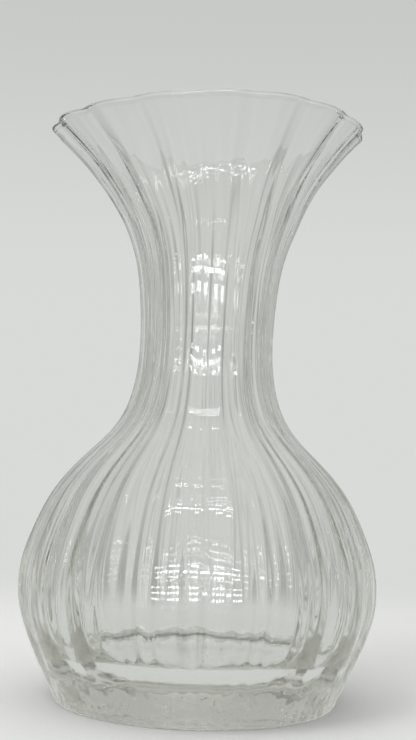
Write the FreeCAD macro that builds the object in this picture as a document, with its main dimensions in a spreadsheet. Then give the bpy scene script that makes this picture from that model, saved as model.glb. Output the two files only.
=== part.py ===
"""Fan vase: clear ribbed glass with a thick foot, a round bowl, a narrow neck and a flared mouth.

Frame: millimetres, +Z up, origin at the centre of the flat underside.
The glass is drawn as one lobed outer form less one lobed cavity, and is divided by level planes
into the zones that a glassmaker names: base slab, bowl, shoulder, neck, fan and rim bead.
"""
import FreeCAD, Part
import math
import os

Vector = FreeCAD.Vector

doc = FreeCAD.newDocument("fan_vase")

# Driving dimensions

SIZES = [
    ("vase_height", 204.6, "foot to the top of the rim"),
    ("foot_radius", 50.6, "flat underside"),
    ("bowl_radius", 63.5, "widest place, over the lobes"),
    ("bowl_height", 39.0, "height of the widest place"),
    ("neck_radius", 24.0, "waist, over the lobes"),
    ("neck_height", 127.0, "height of the waist"),
    ("mouth_radius", 56.4, "rim, over the lobes"),
    ("heel_wall", 5.4, "glass at a lobe where the cavity floor has turned up into the wall"),
    ("bowl_wall", 3.5, "glass at a lobe of the upper bowl"),
    ("thin_wall_height", 66.0, "height at which the wall has thinned from the heel to the upper bowl"),
    ("neck_wall", 2.8, "glass at a lobe of the neck"),
    ("mouth_wall", 2.2, "glass at a lobe of the rim"),
    ("floor_thickness", 12.5, "glass under the middle of the cavity"),
    ("floor_radius", 16.0, "flat middle of the cavity floor"),
    ("floor_curve_height", 22.0, "rise of the cavity floor as it turns up into the wall"),
    ("floor_skin", 6.0, "glass of the bowl between the base slab and the cavity floor"),
    ("outer_rib_depth", 1.5, "how far the outside dips between two lobes of the bowl"),
    ("inner_rib_depth", 3.6, "how far a rib stands into the cavity at its thickest"),
    ("lip_height", 1.1, "fire-polished rounding of the rim"),
    ("shoulder_start_share", 0.25, "top of the bowl zone, from the widest place to the waist"),
    ("neck_start_share", 0.73, "top of the shoulder zone, from the widest place to the waist"),
    ("fan_start_share", 0.3, "top of the neck zone, from the waist to the rim"),
    ("lobe_count", 16.0, "lobes round the vase"),
    ("twist_angle", 6.0, "degrees that the ribs lean round from the neck to the rim"),
    ("cut_overrun", 4.0, "how far a cutting solid passes the glass"),
]

sheet = doc.addObject("Spreadsheet::Sheet", "sizes")
for row, (alias, number, meaning) in enumerate(SIZES, start=1):
    sheet.set(f"A{row}", alias)
    sheet.set(f"B{row}", str(number))
    sheet.set(f"C{row}", meaning)
    sheet.setAlias(f"B{row}", alias)
doc.recompute()


def size(alias):
    """One driving dimension, read from the sheet."""
    return float(getattr(sheet, alias))


# Shapes of the outlines, as shares of the sizes that they follow

# Foot to widest place: share of the height, share of the widening
heel_shares = [(0, 0), (0.03, 0.04), (0.08, 0.11), (0.18, 0.26), (0.36, 0.485), (0.62, 0.78), (0.85, 0.965)]

# Widest place to waist: share of the height, share of the narrowing
shoulder_shares = [
    (0, 0), (0.10, 0.018), (0.24, 0.12), (0.375, 0.27), (0.51, 0.52), (0.67, 0.845), (0.83, 0.97)]

# Waist to rim: share of the height, share of the widening
fan_shares = [
    (0, 0), (0.17, 0.02), (0.37, 0.09), (0.57, 0.265), (0.72, 0.46), (0.855, 0.695), (0.95, 0.89), (1, 1)]

# Cavity floor: share of the way out to the wall, share of the way up to the side
floor_shares = [(0, 0), (0.286, 0.024), (0.524, 0.092), (0.714, 0.232), (0.857, 0.44), (0.952, 0.72)]

# Dip of the outside between two lobes: share of the vase's height, share of the depth
outer_rib_shares = [
    (0, 0.05), (0.025, 0.3), (0.07, 0.75), (0.15, 1), (0.4, 0.9), (0.6, 0.4), (0.75, 0.4), (1, 1)]

# Rib inside the cavity: share of the vase's height, share of the depth
inner_rib_shares = [
    (0.06, 0), (0.08, 0.35), (0.105, 0.8), (0.135, 1), (0.17, 0.95), (0.24, 0.7), (0.3, 0.48),
    (0.42, 0.42), (0.55, 0.26), (0.74, 0.3), (0.91, 0.5), (1, 0.5)]

# Section of one lobe, from a rib round to the next rib: share of the rib's depth at each pole
lobe_section_shares = [1, 0.55, 0.12, 0, 0.12, 0.55]

# Where the ribs begin to lean round, as a share of the vase's height
twist_start_share = 0.45

SPLINE_DEGREE = 3
LIP_STEPS = 6


def share_at(table, share):
    """Straight-line reading of a table of shares."""
    if share <= table[0][0]:
        return table[0][1]
    for (x0, y0), (x1, y1) in zip(table, table[1:]):
        if share <= x1:
            return y0 + (y1 - y0) * (share - x0) / (x1 - x0)
    return table[-1][1]


def outer_outline():
    """Radius and height of the outside over the lobes, from the foot to below the lip."""
    foot = (size("foot_radius"), 0)
    widest = (size("bowl_radius"), size("bowl_height"))
    waist = (size("neck_radius"), size("neck_height"))
    rim = (size("mouth_radius"), lip_top())
    stretches = [(foot, widest, heel_shares), (widest, waist, shoulder_shares), (waist, rim, fan_shares)]
    points = []
    for (r0, z0), (r1, z1), table in stretches:
        points += [(r0 + (r1 - r0) * across, z0 + (z1 - z0) * up) for up, across in table]
    return points


def wall_at(height):
    """Thickness of the glass at a lobe."""
    side_height = size("floor_thickness") + size("floor_curve_height")
    stations = [
        (side_height, size("heel_wall")),
        (size("thin_wall_height"), size("bowl_wall")),
        (size("neck_height"), size("neck_wall")),
        (size("vase_height"), size("mouth_wall"))]
    for (low, wall), (high, next_wall) in zip(stations, stations[1:]):
        if height <= high:
            return wall + (next_wall - wall) * max(height - low, 0) / (high - low)
    return size("mouth_wall")


def cavity_outline(outside):
    """Radius and height of the cavity over the lobes, from the flat of its floor up through the mouth."""
    flat, floor = size("floor_radius"), size("floor_thickness")
    side_height = floor + size("floor_curve_height")
    side = radius_at(outside, side_height) - size("heel_wall")
    wall_start = max(side_height, size("bowl_height"))
    points = [(flat + (side - flat) * r, floor + (side_height - floor) * z) for r, z in floor_shares]
    points.append((side, side_height))
    points += [(radius - wall_at(height), height) for radius, height in outside if height > wall_start]
    (r0, z0), (r1, z1) = points[-2:]
    overrun = size("cut_overrun")
    points.append((r1 + (r1 - r0) / (z1 - z0) * overrun, z1 + overrun))
    return points


def radius_at(outline, height):
    """Straight-line reading of an outline."""
    return share_at([(z, r) for r, z in outline], height)


def turn_at(height):
    """How far round the ribs have leaned, in radians."""
    share = (height / size("vase_height") - twist_start_share) / (1 - twist_start_share)
    share = min(max(share, 0), 1)
    return -math.radians(size("twist_angle")) * share * share


def lobed_row(radius, height, depth):
    """The poles of one level ring: round, with a rib between each two lobes."""
    per_lobe = len(lobe_section_shares)
    count = round(size("lobe_count")) * per_lobe
    step = 2 * math.pi / count
    swell = 3 / (2 + math.cos(step))
    row = []
    for index in range(count):
        angle = index * step + turn_at(height) - math.pi / 2
        reach = radius * swell - depth * lobe_section_shares[index % per_lobe]
        row.append(Vector(reach * math.cos(angle), reach * math.sin(angle), height))
    return row


def lobed_surface(outline, rib_depth):
    """A smooth surface whose outline passes through the given points."""
    curve = Part.BSplineCurve()
    curve.interpolate([Vector(radius, 0, height) for radius, height in outline])
    rows = [lobed_row(pole.x, pole.z, rib_depth(pole)) for pole in curve.getPoles()]
    around = len(rows[0])
    poles = [[row[index] for row in rows] for index in range(around)]
    surface = Part.BSplineSurface()
    surface.buildFromPolesMultsKnots(
        poles, [1] * (around + 1), curve.getMultiplicities(), list(range(around + 1)), curve.getKnots(),
        True, False, SPLINE_DEGREE, curve.Degree)
    return surface


def level_ring(surface, end):
    """The closed edge of a surface at the lower or upper end of its outline."""
    low_u, high_u, low_v, high_v = surface.bounds()
    return surface.vIso(low_v if end == "low" else high_v).toShape()


def solid_of(faces):
    """The solid that the faces close."""
    shell = Part.makeShell(faces)
    shell.sewShape()
    solid = Part.makeSolid(shell)
    if solid.Volume < 0:
        solid.reverse()
    return solid


def closed_solid(surface):
    """The solid between a surface and the level planes through its two ends."""
    caps = [Part.Face(Part.Wire([level_ring(surface, end)])) for end in ("low", "high")]
    return solid_of([surface.toShape()] + caps)


def outer_rib_depth(height):
    """Dip of the outside between two lobes at a height."""
    return size("outer_rib_depth") * share_at(outer_rib_shares, height / size("vase_height"))


def inner_rib_depth(height):
    """Height of a rib inside the cavity at a height."""
    return size("inner_rib_depth") * share_at(inner_rib_shares, height / size("vase_height"))


def add_shape(name, shape):
    """A free-form solid in the document."""
    item = doc.addObject("Part::Feature", name)
    item.Shape = shape
    return item


def lip_top():
    """Height of the level plane where the fan ends and the rounded lip begins."""
    return size("vase_height") - size("lip_height")


def lip_solid():
    """The rounded bead that finishes the rim, on the level top of the fan."""
    top, outer, wall = lip_top(), size("mouth_radius"), wall_at(lip_top())
    outer_dip, inner_rise = outer_rib_depth(top), inner_rib_depth(top)
    outline = []
    for step in range(LIP_STEPS + 1):
        angle = math.pi * step / LIP_STEPS
        across = wall * (1 - math.cos(angle)) / 2
        outline.append((outer - across, top + size("lip_height") * math.sin(angle)))

    def rib_depth(pole):
        return outer_dip + (inner_rise - outer_dip) * (outer - pole.x) / wall

    surface = lobed_surface(outline, rib_depth)
    rings = [Part.Wire([level_ring(surface, end)]) for end in ("low", "high")]
    return solid_of([surface.toShape(), Part.makeFace(rings, "Part::FaceMakerBullseye")])


outside = outer_outline()
outer_form = add_shape("outer_form", closed_solid(
    lobed_surface(outside, lambda pole: outer_rib_depth(pole.z))))
cavity_form = add_shape("cavity_form", closed_solid(
    lobed_surface(cavity_outline(outside), lambda pole: inner_rib_depth(pole.z))))

glass = doc.addObject("Part::Cut", "glass")
glass.Base = outer_form
glass.Tool = cavity_form


def add_zone(label, start, end):
    """The glass between two level planes, each given as an expression of the sheet."""
    band = doc.addObject("Part::Cylinder", label + "_band")
    band.setExpression("Radius", "sizes.bowl_radius + sizes.mouth_radius")
    band.setExpression("Height", f"({end}) - ({start})")
    band.setExpression("Placement.Base.z", start)
    zone = doc.addObject("Part::Common", label)
    zone.Base = glass
    zone.Tool = band
    return zone


BELOW_FOOT = "-sizes.cut_overrun"
SLAB_TOP = "sizes.floor_thickness - sizes.floor_skin"
BOWL_TOP = "sizes.bowl_height + (sizes.neck_height - sizes.bowl_height) * sizes.shoulder_start_share"
SHOULDER_TOP = "sizes.bowl_height + (sizes.neck_height - sizes.bowl_height) * sizes.neck_start_share"
NECK_TOP = "sizes.neck_height + (sizes.vase_height - sizes.neck_height) * sizes.fan_start_share"
FAN_TOP = "sizes.vase_height - sizes.lip_height"

pieces = [
    add_zone("base_slab", BELOW_FOOT, SLAB_TOP),
    add_zone("bowl", SLAB_TOP, BOWL_TOP),
    add_zone("shoulder", BOWL_TOP, SHOULDER_TOP),
    add_zone("neck", SHOULDER_TOP, NECK_TOP),
    add_zone("fan", NECK_TOP, FAN_TOP),
    add_shape("rim_bead", lip_solid()),
]

doc.recompute()


def check(item):
    """Stop if an object failed to build, or isn't one sound solid."""
    if any(flag in item.State for flag in ("Invalid", "Error")):
        raise SystemExit(f"{item.Label} failed: {item.State}")
    shape = item.Shape
    if shape.isNull() or not shape.isValid() or len(shape.Solids) != 1:
        raise SystemExit(f"{item.Label} is not one sound solid")


for item in (outer_form, cavity_form, glass, *pieces):
    check(item)

os.makedirs("parts", exist_ok=True)
for piece in pieces:
    print(piece.Label, round(piece.Shape.Volume), "cubic mm")
    piece.Shape.exportStep(f"parts/{piece.Label}.step")
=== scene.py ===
"""A clear ribbed glass vase with a flared, scalloped mouth, in a plain pale studio.

The vase is one closed mesh of glass, outside and inside, which stands for the six zones of the CAD model.
It follows the same outlines and rib tables as the CAD, and adds what a hand-finished piece shows: ribs of
uneven strength, a neck a little out of true, a rim a little out of level, fine draw lines and chill marks,
and seeds of air in the thick foot.
"""
import math

import bmesh
import bpy
import numpy as np
from mathutils import Matrix, Vector


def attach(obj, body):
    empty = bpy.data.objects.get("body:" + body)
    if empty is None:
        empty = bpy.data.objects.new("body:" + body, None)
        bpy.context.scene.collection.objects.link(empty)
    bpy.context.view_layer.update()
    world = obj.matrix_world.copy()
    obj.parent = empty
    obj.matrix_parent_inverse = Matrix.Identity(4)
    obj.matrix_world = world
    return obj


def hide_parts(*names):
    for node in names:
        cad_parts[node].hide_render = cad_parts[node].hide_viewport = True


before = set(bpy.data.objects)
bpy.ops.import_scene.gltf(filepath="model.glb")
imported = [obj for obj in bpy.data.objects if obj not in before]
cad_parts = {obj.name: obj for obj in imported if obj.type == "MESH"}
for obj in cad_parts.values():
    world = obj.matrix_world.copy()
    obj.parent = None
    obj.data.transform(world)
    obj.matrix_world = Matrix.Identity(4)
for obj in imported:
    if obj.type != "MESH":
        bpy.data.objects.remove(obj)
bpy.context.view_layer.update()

MM = 0.001

# Sizes of the glass in millimetres, within a millimetre of the CAD model's

VASE_HEIGHT = 204.6
FOOT_RADIUS = 50.0
BOWL_RADIUS = 63.35
BOWL_HEIGHT = 39.0
NECK_RADIUS = 24.0
NECK_HEIGHT = 127.0
MOUTH_RADIUS = 56.4
HEEL_WALL = 5.4
BOWL_WALL = 3.5
NECK_WALL = 2.8
MOUTH_WALL = 2.2
FLOOR_THICKNESS = 12.5
FLOOR_RADIUS = 16.0
FLOOR_CURVE_HEIGHT = 22.0
THIN_WALL_HEIGHT = 66.0
OUTER_RIB_DEPTH = 1.5
INNER_RIB_DEPTH = 3.6
LIP_HEIGHT = 1.1
LOBES = 16
TWIST = math.radians(6.0)
TWIST_START_SHARE = 0.45
LIP_TOP = VASE_HEIGHT - LIP_HEIGHT

heel_shares = [(0, 0), (0.03, 0.01), (0.08, 0.06), (0.18, 0.21), (0.36, 0.465), (0.62, 0.78), (0.85, 0.965)]
shoulder_shares = [
    (0, 0), (0.10, 0.018), (0.24, 0.12), (0.375, 0.27), (0.51, 0.52), (0.67, 0.845), (0.83, 0.97)]
fan_shares = [
    (0, 0), (0.17, 0.02), (0.37, 0.09), (0.57, 0.265), (0.72, 0.46), (0.855, 0.695), (0.95, 0.89), (1, 1)]
floor_shares = [(0, 0), (0.286, 0.024), (0.524, 0.092), (0.714, 0.232), (0.857, 0.44), (0.952, 0.72)]
outer_rib_shares = [
    (0, 0.05), (0.025, 0.3), (0.07, 0.75), (0.15, 1), (0.4, 0.9), (0.6, 0.4), (0.75, 0.4), (1, 1)]
inner_rib_shares = [
    (0.06, 0), (0.08, 0.35), (0.105, 0.8), (0.135, 1), (0.17, 0.95), (0.24, 0.7), (0.3, 0.48),
    (0.42, 0.42), (0.55, 0.26), (0.74, 0.3), (0.91, 0.5), (1, 0.5)]
lobe_section_shares = [1, 0.55, 0.12, 0, 0.12, 0.55]

# What the hand-finished glass adds, in millimetres and radians

SMOOTHING = 8.0
READING_STEP = 0.25
AXIS_DRIFT = [
    (0, 0), (40, 0), (90, 0.1), (125, 0.5), (155, 0.9), (168, 0.9), (177, 0.2), (184, -0.3), (191, -0.4),
    (203, -1.2)]
RIM_LIFT = (-2.26, -0.92, 2.96, -1.0)
RIM_LIFT_START = 150.0
FOOT_SQUARENESS = 0.2
FOOT_SQUARE_TOP = 9.0
HEEL_EDGE = 1.2
HEEL_EDGE_SHARE = 0.5
UNDERSIDE_RADII = [4, 12, 22, 32, 38, 42, 45, 47, 48.1, 48.8]
UNDERSIDE_DISH = 0.7
DISH_RADIUS = 38.0
DISH_EDGE_WIDTH = 10.0
CAVITY_FLOOR_RADII = [14, 11, 8, 5, 2.5]
RIB_STRENGTH_SPREAD = 0.16
RIB_PLACE_SPREAD = math.radians(0.9)
SOFT_RIBS = [1, 15]
SOFT_RIB_SHARE = 0.6
SOFT_RIB_HEIGHTS = (50.0, 100.0)
CHILL_WAVES = 40
CHILL_TURNS = (8, 56)
CHILL_CLIMB = 0.9
CHILL_DEPTH = 0.035
CHILL_TOP = 34.0
DRAW_WAVES = 26
DRAW_TURNS = (28, 76)
DRAW_SWELL_HEIGHT = 28.0
DRAW_SHARE = 0.00055
DRAW_STRENGTHS = [(12, 0), (34, 1.4), (90, 1.1), (127, 0.9), (204, 0.3)]
SEED_COUNT = 420
SEED_RADII = (0.10, 0.28)
SEED_HEIGHTS = (2.0, 30.0)
SEED_INSETS = (2.4, 4.6)
SEED_SPREAD = 2.5

# Starting numbers of the random draws

RIB_STRENGTH_DRAW = 5
RIB_PLACE_DRAW = 11
CHILL_DRAW = 3
LINE_DRAW = 29
SEED_DRAW = 17

# Fineness of the mesh

STEPS_PER_POLE = 4
OUTER_ROWS = 260
INNER_ROWS = 280
LIP_ROWS = 9


def spline_through(points, count):
    """Evenly spaced points on the natural cubic spline through the given points."""
    points = np.array(points, float)
    reach = np.concatenate([[0], np.cumsum(np.hypot(*np.diff(points, axis=0).T))])
    last = len(points) - 1
    matrix = np.zeros((last + 1, last + 1))
    bend = np.zeros((last + 1, 2))
    matrix[0, 0] = matrix[last, last] = 1
    for i in range(1, last):
        before, after = reach[i] - reach[i - 1], reach[i + 1] - reach[i]
        matrix[i, i - 1:i + 2] = before, 2 * (before + after), after
        bend[i] = 6 * ((points[i + 1] - points[i]) / after - (points[i] - points[i - 1]) / before)
    curve = np.linalg.solve(matrix, bend)
    along = np.linspace(0, reach[-1], count)
    i = np.clip(np.searchsorted(reach, along) - 1, 0, last - 1)
    span = (reach[i + 1] - reach[i])[:, None]
    a = (reach[i + 1] - along)[:, None] / span
    b = 1 - a
    straight = a * points[i] + b * points[i + 1]
    return straight + ((a**3 - a) * curve[i] + (b**3 - b) * curve[i + 1]) * span**2 / 6


def shares_between(start, end, table):
    """Points from start towards end, by a table of shares of the height and of the widening."""
    (r0, z0), (r1, z1) = start, end
    return [(r0 + (r1 - r0) * across, z0 + (z1 - z0) * up) for up, across in table]


def outer_points():
    """Radius and height of the outside over the lobes, foot to lip."""
    foot, widest, waist = (FOOT_RADIUS, 0), (BOWL_RADIUS, BOWL_HEIGHT), (NECK_RADIUS, NECK_HEIGHT)
    rim = (MOUTH_RADIUS, LIP_TOP)
    points = shares_between(foot, widest, heel_shares)
    points += shares_between(widest, waist, shoulder_shares)
    return points + shares_between(waist, rim, fan_shares)


def wall_at(height):
    """Thickness of the glass at a lobe."""
    heights = [FLOOR_THICKNESS + FLOOR_CURVE_HEIGHT, THIN_WALL_HEIGHT, NECK_HEIGHT, VASE_HEIGHT]
    return np.interp(height, heights, [HEEL_WALL, BOWL_WALL, NECK_WALL, MOUTH_WALL])


def inner_points(outside):
    """Radius and height of the cavity over the lobes, from the flat of its floor to the lip."""
    side_height = FLOOR_THICKNESS + FLOOR_CURVE_HEIGHT
    radii, heights = zip(*outside)
    side = np.interp(side_height, heights, radii) - HEEL_WALL
    start, end = (FLOOR_RADIUS, FLOOR_THICKNESS), (side, side_height)
    points = [
        (start[0] + (end[0] - start[0]) * across, start[1] + (end[1] - start[1]) * up)
        for across, up in floor_shares]
    points.append(end)
    wall_start = max(side_height, BOWL_HEIGHT)
    return points + [(radius - wall_at(height), height) for radius, height in outside if height > wall_start]


def smooth_reading(table, heights):
    """A table of heights and values read at each height, with its corners rounded off."""
    grid = np.arange(-2 * SMOOTHING, VASE_HEIGHT + 2 * SMOOTHING, READING_STEP)
    window = np.hanning(round(SMOOTHING / READING_STEP) + 2)
    values = np.convolve(np.interp(grid, *zip(*table)), window / window.sum(), "same")
    return np.interp(heights, grid, values)


def rib_depth(table, depth, heights):
    """How far a rib stands out at each height."""
    return depth * smooth_reading([(share * VASE_HEIGHT, value) for share, value in table], heights)


def wander(draw, size):
    """Gentle unevenness round the vase: one value for each rib."""
    return np.random.default_rng(draw).uniform(-size, size, LOBES)


RIB_STRENGTH = 1 + wander(RIB_STRENGTH_DRAW, RIB_STRENGTH_SPREAD)
RIB_PLACE = wander(RIB_PLACE_DRAW, RIB_PLACE_SPREAD)
RIB_SOFTNESS = np.zeros(LOBES)
RIB_SOFTNESS[SOFT_RIBS] = SOFT_RIB_SHARE


def ring_weights():
    """Weights that turn the poles of a ring into the points of a smooth closed curve."""
    poles = LOBES * len(lobe_section_shares)
    weights = np.zeros((poles * STEPS_PER_POLE, poles))
    for i in range(poles):
        for step in range(STEPS_PER_POLE):
            u = step / STEPS_PER_POLE
            blend = [(1 - u)**3, 3 * u**3 - 6 * u**2 + 4, -3 * u**3 + 3 * u**2 + 3 * u + 1, u**3]
            for k, share in enumerate(blend):
                weights[i * STEPS_PER_POLE + step, (i + k - 1) % poles] += share / 6
    return weights


def between_ribs(values, lobe):
    """A value for each rib, read between the ribs too and on round the ring."""
    return np.interp(lobe, np.arange(LOBES + 1), np.append(values, values[0]))


def lobed_rings(radii, heights, depths, softness=0.0):
    """Rings of points, one for each height, round with a rib between each two lobes.

    The softness, from 0 to 1 at each height, is how much of their softness the soft ribs show there.
    """
    per_lobe = len(lobe_section_shares)
    count = LOBES * per_lobe
    index = np.arange(count)
    step = 2 * math.pi / count
    swell = 3 / (2 + math.cos(step))
    lobe = index / per_lobe
    place = between_ribs(RIB_PLACE, lobe)
    section = np.array(lobe_section_shares)[index % per_lobe] * between_ribs(RIB_STRENGTH, lobe)
    kept = 1 - np.multiply.outer(softness, between_ribs(RIB_SOFTNESS, lobe))
    share = np.clip((np.asarray(heights) / VASE_HEIGHT - TWIST_START_SHARE) / (1 - TWIST_START_SHARE), 0, 1)
    angle = (index * step + place - math.pi / 2)[None, :] - TWIST * (share * share)[:, None]
    reach = np.asarray(radii)[:, None] * swell - np.asarray(depths)[:, None] * section[None, :] * kept
    poles = np.stack([reach * np.cos(angle), reach * np.sin(angle)], axis=-1)
    flat = np.einsum("nk,rkc->rnc", ring_weights(), poles)
    height = np.broadcast_to(np.asarray(heights, float)[:, None, None], flat.shape[:2] + (1,))
    return np.concatenate([flat, height], axis=-1)


def out_of_true(points):
    """The squarish foot, the drift of the neck and the uneven height of the rim."""
    height = points[..., 2]
    moved = points.copy()
    fade = np.clip(1 - height / FOOT_SQUARE_TOP, 0, 1)**2
    around = np.arctan2(points[..., 1], points[..., 0])
    moved[..., :2] *= (1 - FOOT_SQUARENESS / FOOT_RADIUS * fade * np.cos(4 * around))[..., None]
    moved[..., 0] += smooth_reading(AXIS_DRIFT, height)
    rise = np.clip((height - RIM_LIFT_START) / (VASE_HEIGHT - RIM_LIFT_START), 0, 1)
    moved[..., 2] += rise * rise * np.polyval(RIM_LIFT, points[..., 0] / MOUTH_RADIUS)
    return moved


def chill_marks(rings):
    """The faint waviness that the mould's chill leaves in the outside, strongest in the thick foot."""
    random = np.random.default_rng(CHILL_DRAW)
    radius = np.hypot(rings[..., 0], rings[..., 1])
    around = np.arctan2(rings[..., 1], rings[..., 0])
    height = rings[..., 2]
    wave = np.zeros_like(height)
    for _ in range(CHILL_WAVES):
        turns = random.integers(*CHILL_TURNS)
        climb = random.uniform(-CHILL_CLIMB, CHILL_CLIMB)
        wave += np.sin(turns * around + climb * height + random.uniform(0, 2 * math.pi))
    fade = np.clip(1 - height / CHILL_TOP, 0, 1)
    moved = rings.copy()
    moved[..., :2] *= (1 - CHILL_DEPTH * fade * np.abs(wave) / radius)[..., None]
    return moved


def draw_lines(rings):
    """The fine upright lines that drawing the glass out leaves in the wall of the cavity."""
    random = np.random.default_rng(LINE_DRAW)
    around = np.arctan2(rings[..., 1], rings[..., 0])
    height = rings[..., 2]
    wave = np.zeros_like(height)
    for _ in range(DRAW_WAVES):
        turns = random.integers(*DRAW_TURNS)
        start, swell = random.uniform(0, 2 * math.pi, 2)
        wave += np.sin(turns * around + start) * (1 + np.sin(height / DRAW_SWELL_HEIGHT + swell))
    share = np.interp(height, *zip(*DRAW_STRENGTHS))
    moved = rings.copy()
    moved[..., :2] *= (1 + DRAW_SHARE * share * wave)[..., None]
    return moved


def outer_rings():
    """The outside from the middle of the underside to the lip."""
    dish_radii = np.array(UNDERSIDE_RADII)
    dish = UNDERSIDE_DISH * (1 - np.clip((dish_radii - DISH_RADIUS) / DISH_EDGE_WIDTH, 0, 1)**2)
    under = lobed_rings(dish_radii, dish, dish_radii * 0)
    radii, heights = spline_through(outer_points(), OUTER_ROWS).T
    edge = np.clip(1 - heights / HEEL_EDGE, 0, 1)
    radii = radii - HEEL_EDGE * (1 - np.sqrt(1 - edge**2)) * HEEL_EDGE_SHARE
    side = lobed_rings(radii, heights, rib_depth(outer_rib_shares, OUTER_RIB_DEPTH, heights))
    return np.concatenate([under, chill_marks(side)])


def lip_rings():
    """The rounded rim, from the outside over to the inside."""
    angle = np.linspace(0, math.pi, LIP_ROWS + 2)[1:-1]
    across = (1 - np.cos(angle)) / 2
    outer = rib_depth(outer_rib_shares, OUTER_RIB_DEPTH, LIP_TOP)
    inner = rib_depth(inner_rib_shares, INNER_RIB_DEPTH, LIP_TOP)
    radii = MOUTH_RADIUS - wall_at(LIP_TOP) * across
    return lobed_rings(radii, LIP_TOP + LIP_HEIGHT * np.sin(angle), outer + (inner - outer) * across)


def inner_rings():
    """The inside from the lip down to the middle of the cavity floor."""
    radii, heights = spline_through(inner_points(outer_points()), INNER_ROWS)[::-1].T
    softness = np.interp(heights, SOFT_RIB_HEIGHTS, (1, 0))
    side = lobed_rings(radii, heights, rib_depth(inner_rib_shares, INNER_RIB_DEPTH, heights), softness)
    floor_radii = np.array(CAVITY_FLOOR_RADII)
    floor = lobed_rings(floor_radii, floor_radii * 0 + FLOOR_THICKNESS, floor_radii * 0)
    return np.concatenate([draw_lines(side), floor])


def closed_mesh(name, rings, low, high):
    """A closed mesh through rings of points, with a middle point at each end, and the seeds inside it."""
    rows, around = rings.shape[:2]
    skin = np.concatenate([rings.reshape(-1, 3), [low, high]])
    here = np.arange(around)
    there = (here + 1) % around
    row = np.arange(rows - 1)[:, None] * around
    bands = np.stack([row + here, row + there, row + around + there, row + around + here], axis=-1)
    first, last = rows * around, (rows - 1) * around
    under = np.stack([here * 0 + first, there, here], axis=1)
    floor = np.stack([here * 0 + first + 1, last + here, last + there], axis=1)
    seeds, seed_faces = seed_skins(len(skin))
    points = np.concatenate([skin, seeds]) * MM
    faces = bands.reshape(-1, 4).tolist() + under.tolist() + floor.tolist() + seed_faces.tolist()
    mesh = bpy.data.meshes.new(name)
    mesh.from_pydata(points.tolist(), [], faces)
    mesh.shade_smooth()
    return mesh


def link(name, data):
    """A new object in the scene."""
    item = bpy.data.objects.new(name, data)
    bpy.context.collection.objects.link(item)
    return item


def seed_places():
    """Middles and radii of the tiny bubbles of air in the thick glass of the foot."""
    random = np.random.default_rng(SEED_DRAW)
    height = random.uniform(*SEED_HEIGHTS, SEED_COUNT)
    skin = np.interp(height, *np.array(outer_points()).T[::-1])
    inset = random.uniform(*SEED_INSETS, SEED_COUNT)
    inset += np.clip(FLOOR_THICKNESS - height, 0, None) * random.uniform(0, SEED_SPREAD, SEED_COUNT)
    around = random.uniform(0, 2 * math.pi, SEED_COUNT)
    reach = skin - inset
    middles = np.stack([reach * np.cos(around), reach * np.sin(around), height], axis=1)
    return middles, random.uniform(*SEED_RADII, SEED_COUNT)


def seed_skins(first):
    """Points and faces of the bubbles, which face inwards; the points are counted from the given number."""
    ball = bmesh.new()
    bmesh.ops.create_icosphere(ball, subdivisions=2, radius=1.0)
    shape = np.array([point.co for point in ball.verts])
    corners = np.array([[point.index for point in face.verts] for face in ball.faces])[:, ::-1]
    ball.free()
    middles, radii = seed_places()
    points = middles[:, None, :] + shape[None] * radii[:, None, None]
    starts = first + len(shape) * np.arange(len(middles))
    return points.reshape(-1, 3), (starts[:, None, None] + corners[None]).reshape(-1, 3)


def make_vase():
    """The whole vase as one closed skin of glass."""
    rings = out_of_true(np.concatenate([outer_rings(), lip_rings(), inner_rings()]))
    mesh = closed_mesh("vase_glass", rings, (0, 0, UNDERSIDE_DISH), (0, 0, FLOOR_THICKNESS))
    return link("vase_glass", mesh)


def node(tree, kind, **settings):
    """A new shader node with the given settings."""
    made = tree.nodes.new(kind)
    for key, value in settings.items():
        setattr(made, key, value)
    return made


GLASS_TINT = (0.94, 0.945, 0.935)
GLASS_DEPTH_TINT = (0.80, 0.80, 0.765)
GLASS_DENSITY = 15.0
GLASS_IOR = 1.5


def clear_glass():
    """Clear soda glass, faintly grey-green where it is thick."""
    material = bpy.data.materials.new("clear_glass")
    material.use_nodes = True
    tree = material.node_tree
    shader = tree.nodes["Principled BSDF"]
    shader.inputs["Base Color"].default_value = (*GLASS_TINT, 1)
    shader.inputs["Roughness"].default_value = 0.0
    shader.inputs["IOR"].default_value = GLASS_IOR
    shader.inputs["Transmission Weight"].default_value = 1.0
    absorb = node(tree, "ShaderNodeVolumeAbsorption")
    absorb.inputs["Color"].default_value = (*GLASS_DEPTH_TINT, 1)
    absorb.inputs["Density"].default_value = GLASS_DENSITY
    tree.links.new(absorb.outputs["Volume"], tree.nodes["Material Output"].inputs["Volume"])
    return material


vase = make_vase()
vase.data.materials.append(clear_glass())
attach(vase, "root")
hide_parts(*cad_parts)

# Studio, in metres, with the fades between two heights of the direction or two distances from the vase

WHITE = (1.0, 1.0, 1.0)
PALE = (0.695, 0.706, 0.688)
PALE_TOP = (0.575, 0.585, 0.572)
BACKDROP_FADE = (0.10, 0.36)
FLAG_COUNT = 8.0
FLAG_TONE = (0.32, 0.325, 0.31)
FLAG_FADE = (0.34, 0.14)
PAPER_RADIUS = 6.0
PAPER_DROP = 0.0001
PAPER_TONE = (0.72, 0.725, 0.71)
PAPER_ROUGHNESS = 0.9
PAPER_FADE = (0.10, 0.40)
PAPER_FLAG_TONE = (0.43, 0.435, 0.42)
PAPER_FLAG_FADE = (0.08, 0.20)
BLOCK_STEP = 0.28
DOT_COLUMNS = 4
DOT_ROWS = 3
DOT_STEP = (0.040, 0.050)
DOT_SIZE = (0.016, 0.020)
BAR_SIZE = (0.06, 0.020)
LAMP_STRENGTH = 30.0
KEY_PLACE = (-0.5, -0.5, 1.1)
KEY_AIM = (0, 0, 0.1)
KEY_SIZE = 0.5
KEY_POWER = 4.0

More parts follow.
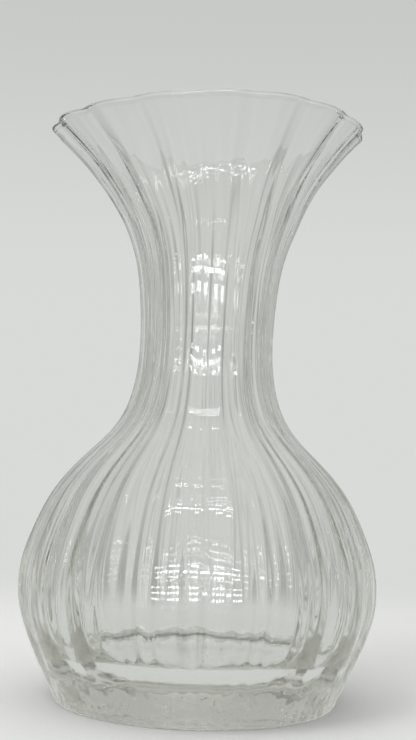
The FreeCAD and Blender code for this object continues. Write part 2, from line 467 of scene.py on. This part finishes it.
# Each strip of lamps: how far in front of the vase it hangs, how high, and its scale

LAMP_PANELS = {
    "lamp_panel_low": (0.45, 0.07, 0.75),
    "lamp_panel_front": (0.45, 0.22, 0.7),
    "lamp_panel_slant": (0.35, 0.50, 0.55),
    "lamp_panel_high": (0.25, 0.80, 0.3),
    "lamp_panel_top": (-0.14, 0.80, 0.5)}


def math_node(tree, operation, first, second=None, third=None):
    """The output of one Math node."""
    made = node(tree, "ShaderNodeMath", operation=operation)
    for socket, value in zip(made.inputs, (first, second, third)):
        if isinstance(value, bpy.types.NodeSocket):
            tree.links.new(value, socket)
        elif value is not None:
            socket.default_value = value
    return made.outputs[0]


def soft_step(tree, value, reach):
    """A soft step from 0 to 1 as the value goes from the reach's first end to its last."""
    made = node(tree, "ShaderNodeMapRange", interpolation_type="SMOOTHSTEP")
    made.inputs["From Min"].default_value, made.inputs["From Max"].default_value = reach
    tree.links.new(value, made.inputs["Value"])
    return made.outputs[0]


def mix_colour(tree, factor, first, second):
    """The output of one colour mix."""
    made = node(tree, "ShaderNodeMix", data_type="RGBA")
    for socket, value in zip((made.inputs[0], made.inputs[6], made.inputs[7]), (factor, first, second)):
        if isinstance(value, bpy.types.NodeSocket):
            tree.links.new(value, socket)
        elif isinstance(value, tuple):
            socket.default_value = (*value, 1)
        else:
            socket.default_value = value
    return made.outputs[2]


def through_glass(tree, path):
    """1 where a ray has come through the glass or off it, and 0 elsewhere."""
    return math_node(tree, "MAXIMUM", path.outputs["Is Transmission Ray"], path.outputs["Is Glossy Ray"])


def ring_of_flags(tree, x, y):
    """How dark it is in each direction round the vase: soft flags stand in a ring."""
    turn = math_node(tree, "MULTIPLY", math_node(tree, "ARCTAN2", x, y), FLAG_COUNT)
    return math_node(tree, "MULTIPLY_ADD", math_node(tree, "COSINE", turn), -0.5, 0.5)


def studio_world():
    """Pale all round and dimmer overhead, with soft dark flags that only the glass shows."""
    world = bpy.data.worlds.new("studio")
    world.use_nodes = True
    tree = world.node_tree
    tree.nodes.clear()
    place = node(tree, "ShaderNodeTexCoord").outputs["Generated"]
    split = node(tree, "ShaderNodeSeparateXYZ")
    tree.links.new(place, split.inputs[0])
    x, y, z = split.outputs
    path = node(tree, "ShaderNodeLightPath")
    through = through_glass(tree, path)
    flags = math_node(tree, "MULTIPLY", ring_of_flags(tree, x, y), through)
    flags = math_node(tree, "MULTIPLY", flags, soft_step(tree, z, FLAG_FADE))
    backdrop = mix_colour(tree, soft_step(tree, z, BACKDROP_FADE), PALE, PALE_TOP)
    backdrop = mix_colour(tree, flags, backdrop, FLAG_TONE)
    shown = math_node(tree, "MAXIMUM", path.outputs["Is Camera Ray"], through)
    seen = mix_colour(tree, shown, WHITE, backdrop)
    back = node(tree, "ShaderNodeBackground")
    tree.links.new(seen, back.inputs["Color"])
    tree.links.new(back.outputs[0], node(tree, "ShaderNodeOutputWorld").inputs["Surface"])
    bpy.context.scene.world = world


def make_floor():
    """A pale floor that keeps the vase's shadow, and shows the glass the flags that stand on it."""
    bpy.ops.mesh.primitive_circle_add(
        vertices=128, radius=PAPER_RADIUS, fill_type="NGON", location=(0, 0, -PAPER_DROP))
    floor = bpy.context.object
    floor.name = "floor"
    material = bpy.data.materials.new("floor_paper")
    material.use_nodes = True
    tree = material.node_tree
    shader = tree.nodes["Principled BSDF"]
    shader.inputs["Base Color"].default_value = (*PAPER_TONE, 1)
    shader.inputs["Roughness"].default_value = PAPER_ROUGHNESS
    shader.inputs["Specular IOR Level"].default_value = 0.0
    glow = node(tree, "ShaderNodeEmission")
    place = node(tree, "ShaderNodeTexCoord").outputs["Object"]
    length = node(tree, "ShaderNodeVectorMath", operation="LENGTH")
    tree.links.new(place, length.inputs[0])
    distance = length.outputs["Value"]
    split = node(tree, "ShaderNodeSeparateXYZ")
    tree.links.new(place, split.inputs[0])
    through = through_glass(tree, node(tree, "ShaderNodeLightPath"))
    fade = math_node(tree, "MAXIMUM", soft_step(tree, distance, PAPER_FADE), through)
    flags = math_node(tree, "MULTIPLY", ring_of_flags(tree, split.outputs[0], split.outputs[1]), through)
    flags = math_node(tree, "MULTIPLY", flags, soft_step(tree, distance, PAPER_FLAG_FADE))
    tree.links.new(mix_colour(tree, flags, PALE, PAPER_FLAG_TONE), glow.inputs["Color"])
    mix = node(tree, "ShaderNodeMixShader")
    tree.links.new(fade, mix.inputs[0])
    tree.links.new(shader.outputs[0], mix.inputs[1])
    tree.links.new(glow.outputs[0], mix.inputs[2])
    tree.links.new(mix.outputs[0], tree.nodes["Material Output"].inputs["Surface"])
    floor.data.materials.append(material)


def lamp_tiles():
    """Middle and size of each lamp of a strip: three blocks of dots, with a bar between each two."""
    tiles = []
    for block in (-1, 0, 1):
        for column in range(DOT_COLUMNS):
            for row in range(DOT_ROWS):
                x = block * BLOCK_STEP + (column - (DOT_COLUMNS - 1) / 2) * DOT_STEP[0]
                tiles.append((x, (row - (DOT_ROWS - 1) / 2) * DOT_STEP[1], *DOT_SIZE))
    return tiles + [(side * BLOCK_STEP / 2, 0, *BAR_SIZE) for side in (-1, 1)]


def lamp_panel(name, distance, rise, scale):
    """A strip of small lamps that faces the vase's foot and glints in the glass."""
    points, faces = [], []
    tilt = math.atan2(rise, distance)
    for x, across, width, height in lamp_tiles():
        faces.append(tuple(range(len(points), len(points) + 4)))
        for dx, dz in ((-1, -1), (1, -1), (1, 1), (-1, 1)):
            lift = (across + dz * height / 2) * scale
            reach = (x + dx * width / 2) * scale
            points.append((reach, -distance + lift * math.sin(tilt), rise + lift * math.cos(tilt)))
    mesh = bpy.data.meshes.new(name)
    mesh.from_pydata(points, [], faces)
    lamps = link(name, mesh)
    mesh.materials.append(lamp_light())
    lamps.visible_camera = False
    lamps.visible_diffuse = False
    lamps.visible_shadow = False


def lamp_light():
    """Plain white light that only reflections show, so that no lamp is seen through the glass."""
    material = bpy.data.materials.new("lamp_light")
    material.use_nodes = True
    tree = material.node_tree
    tree.nodes.clear()
    glow = node(tree, "ShaderNodeEmission")
    glow.inputs["Strength"].default_value = LAMP_STRENGTH
    mirrored = math_node(tree, "MINIMUM", node(tree, "ShaderNodeLightPath").outputs["Glossy Depth"], 1.0)
    mix = node(tree, "ShaderNodeMixShader")
    tree.links.new(mirrored, mix.inputs[0])
    tree.links.new(node(tree, "ShaderNodeBsdfTransparent").outputs[0], mix.inputs[1])
    tree.links.new(glow.outputs[0], mix.inputs[2])
    tree.links.new(mix.outputs[0], node(tree, "ShaderNodeOutputMaterial").inputs["Surface"])
    return material


def key_lamp():
    """A soft square lamp that faces the middle of the vase and draws its shadow."""
    data = bpy.data.lights.new("key_lamp", "AREA")
    data.size = KEY_SIZE
    data.energy = KEY_POWER
    lamp = link("key_lamp", data)
    lamp.location = KEY_PLACE
    lamp.rotation_euler = (Vector(KEY_AIM) - Vector(KEY_PLACE)).to_track_quat("-Z", "Y").to_euler()
    lamp.visible_glossy = False
    lamp.visible_transmission = False


studio_world()
make_floor()
for panel, measures in LAMP_PANELS.items():
    lamp_panel(panel, *measures)
key_lamp()

# Camera, level with the middle of the vase and looking up a little, in millimetres and the picture's pixels

CAMERA_DISTANCE = 448.0
AIM_HEIGHT = 101.75
FOCAL_PIXELS = 1247.0
PICTURE_HEIGHT = 740.0
PITCH = math.radians(3.0)
ROLL = math.radians(1.8)
ASIDE = -1.8
ALOFT = -14.7


def make_camera():
    """The camera at the photograph's viewing angle."""
    data = bpy.data.cameras.new("camera")
    data.lens = FOCAL_PIXELS / PICTURE_HEIGHT * data.sensor_width
    data.clip_start = 0.01
    camera = link("camera", data)
    right = Vector((math.cos(ROLL), -math.sin(ROLL) * math.sin(PITCH), math.sin(ROLL) * math.cos(PITCH)))
    up = Vector((-math.sin(ROLL), -math.cos(ROLL) * math.sin(PITCH), math.cos(ROLL) * math.cos(PITCH)))
    back = Vector((0, -math.cos(PITCH), -math.sin(PITCH)))
    place = Vector((0, 0, AIM_HEIGHT)) - right * ASIDE - up * ALOFT + back * CAMERA_DISTANCE
    camera.matrix_world = Matrix.Translation(place * MM) @ Matrix((right, up, back)).transposed().to_4x4()
    bpy.context.scene.camera = camera


make_camera()
bpy.context.scene.view_settings.view_transform = "Standard"

# Light crosses many faces of the ribbed glass, so its paths are let run on

LIGHT_PATH_LENGTH = 32
cycles = bpy.context.scene.cycles
cycles.max_bounces = LIGHT_PATH_LENGTH
cycles.glossy_bounces = LIGHT_PATH_LENGTH
cycles.transmission_bounces = LIGHT_PATH_LENGTH
